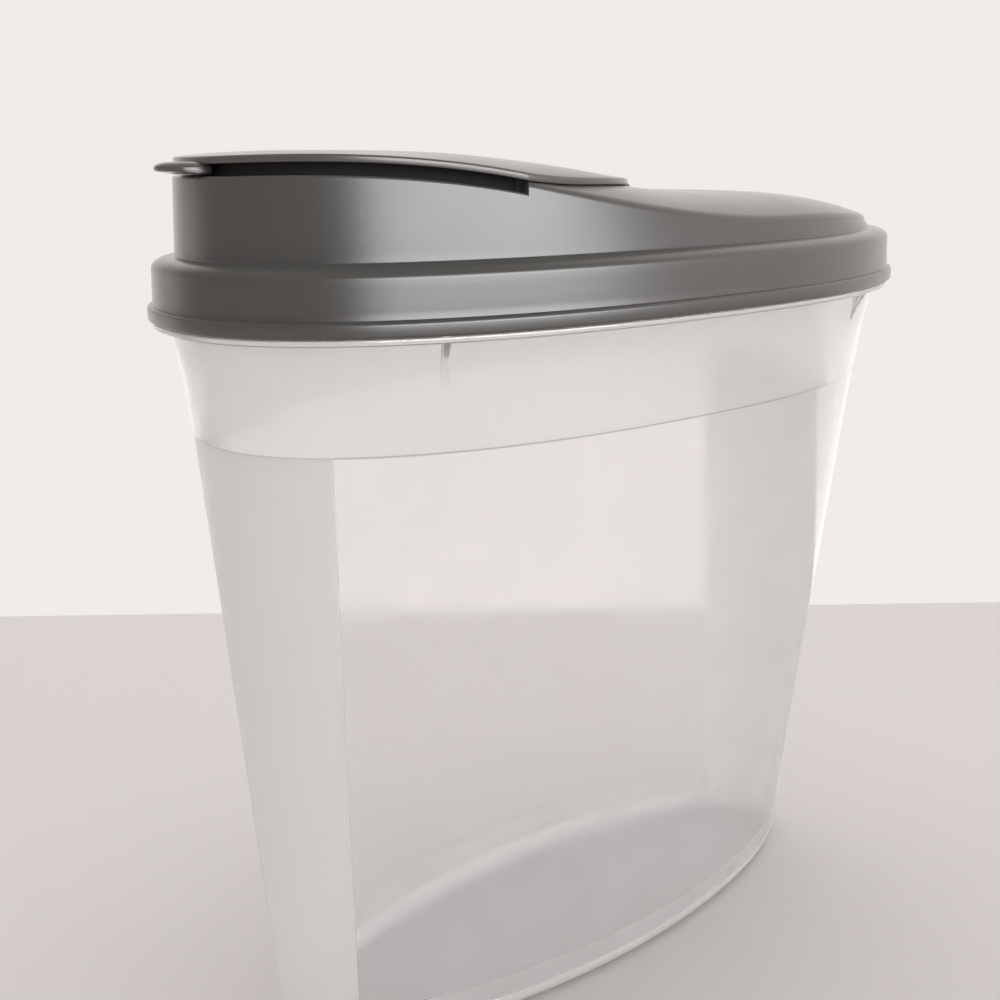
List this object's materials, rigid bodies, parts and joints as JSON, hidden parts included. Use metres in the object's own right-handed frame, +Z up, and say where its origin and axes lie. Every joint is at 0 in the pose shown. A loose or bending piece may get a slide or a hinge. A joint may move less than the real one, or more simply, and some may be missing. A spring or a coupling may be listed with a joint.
{
  "type": "cereal container with flip spout",
  "caption": "Tall oval tub of clear plastic with a lift-off grey lid, a hinged flip cap over the pour spout and a thumb tab at the front.",
  "frame": {"origin": "middle of the flat base, on the surface it stands on", "axes": "+Z up, X along the oval with the pour spout at -X, Y across the narrow width"},
  "size_m": [0.29, 0.1558, 0.3046],
  "materials": {
    "clear_tub": "clear polypropylene with frosted ends",
    "lid_grey": "satin moulded polypropylene",
    "cap_grey": "satin moulded polypropylene"
  },
  "bodies": {
    "container": {"container": "clear_tub"},
    "lid": {"lid": "lid_grey"},
    "flip_cap": {"flip_cap": "cap_grey"}
  },
  "joints": [
    {"name": "lid_lift", "type": "slide", "parent": "container", "child": "lid", "axis": [0, 0, 1], "range_m": [0, 0.05]},
    {"name": "cap_hinge", "type": "hinge", "parent": "lid", "child": "flip_cap", "pos_m": [0.007, 0, 0.28886], "axis": [0, 1, 0], "range_deg": [0, 100]}
  ]
}
